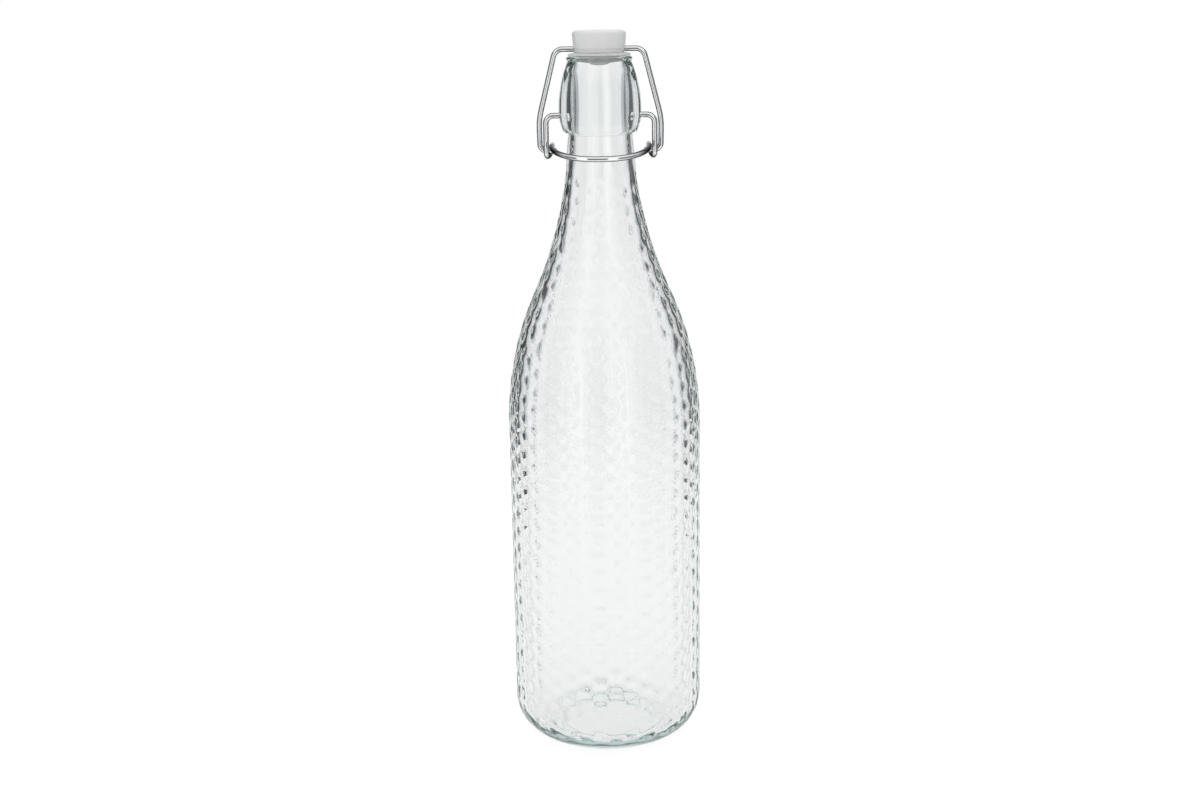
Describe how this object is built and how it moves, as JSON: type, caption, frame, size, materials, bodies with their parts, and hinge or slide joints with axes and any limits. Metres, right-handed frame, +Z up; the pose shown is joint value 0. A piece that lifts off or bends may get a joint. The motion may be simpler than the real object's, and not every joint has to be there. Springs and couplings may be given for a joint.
{
  "type": "swing-top bottle",
  "caption": "Round clear glass bottle with a dimpled body and narrow neck, closed by a hinged wire bail that holds a plastic stopper with a soft gasket.",
  "frame": {"origin": "centre of the base on the surface it stands on", "axes": "+Z up along the bottle's axis, -Y towards the closure lever's ring, X along the wires' pivots"},
  "size_m": [0.085, 0.085, 0.3148],
  "materials": {
    "glass": "clear, very slightly green",
    "wire": "bright zinc-plated steel wire",
    "head_plastic": "white, semi-gloss",
    "silicone": "translucent grey-white silicone, satin"
  },
  "bodies": {
    "glass_body": {"bottle": "glass"},
    "lever": {"lever_wire": "wire"},
    "yoke": {"yoke_wire": "wire"},
    "stopper": {"stopper_head": "head_plastic", "gasket": "silicone"}
  },
  "joints": [
    {"name": "lever_pivot", "type": "hinge", "parent": "glass_body", "child": "lever", "pos_m": [0, 0, 0.2795], "axis": [-1, 0, 0], "range_deg": [0, 90]},
    {"name": "eye_pivot", "type": "hinge", "parent": "lever", "child": "yoke", "pos_m": [0, 0.0024, 0.2645], "axis": [-1, 0, 0], "range_deg": [-61, 0]},
    {"name": "head_pivot", "type": "hinge", "parent": "yoke", "child": "stopper", "pos_m": [0, 0, 0.3071], "axis": [-1, 0, 0], "range_deg": [-30, 0]}
  ],
  "couplings": [
    {"joint": "eye_pivot", "follows": "lever_pivot", "ratio": -0.67},
    {"joint": "head_pivot", "follows": "lever_pivot", "ratio": -0.33}
  ]
}
